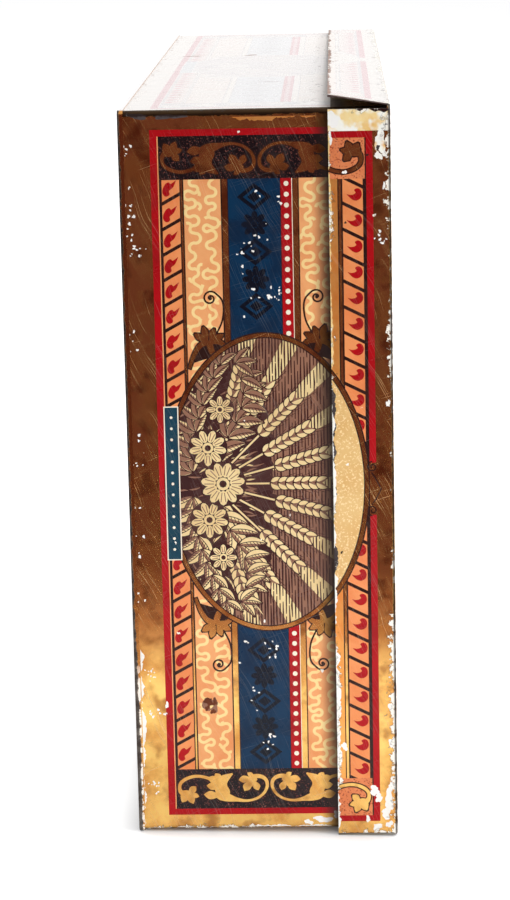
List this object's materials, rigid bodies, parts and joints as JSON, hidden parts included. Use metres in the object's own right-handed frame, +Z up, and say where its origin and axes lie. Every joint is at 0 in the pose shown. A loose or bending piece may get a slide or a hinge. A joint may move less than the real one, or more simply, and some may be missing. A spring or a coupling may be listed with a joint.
{
  "type": "slip-lid biscuit tin",
  "caption": "Flat rectangular tin of printed sheet metal with lock-seamed walls, a rimmed base and a lift-off lid with hemmed skirts, standing on one long side.",
  "frame": {"origin": "under the middle of the bounding box, at the level of the lowest edge, which is the lid's lower skirt", "axes": "+Z up along the tin's length as it stands on one long side, +X from the base towards the lid, -Y out of the printed short side that faces the viewer"},
  "size_m": [0.0612, 0.2402, 0.1744],
  "materials": {
    "printed_tinplate": "lithographed tinplate under gold lacquer, worn at the edges",
    "bare_tinplate": "dull, age-darkened tinplate",
    "solder": "dull grey tin-lead solder"
  },
  "bodies": {
    "body": {"front_wrap": "printed_tinplate", "back_panel": "printed_tinplate", "base_pan": "bare_tinplate", "seam_solder": "solder", "base_solder": "solder"},
    "lid": {"lid_pan": "printed_tinplate", "lid_solder": "solder"}
  },
  "joints": [
    {"name": "lid_pull", "type": "slide", "parent": "body", "child": "lid", "axis": [1, 0, 0], "range_m": [0, 0.04]}
  ]
}
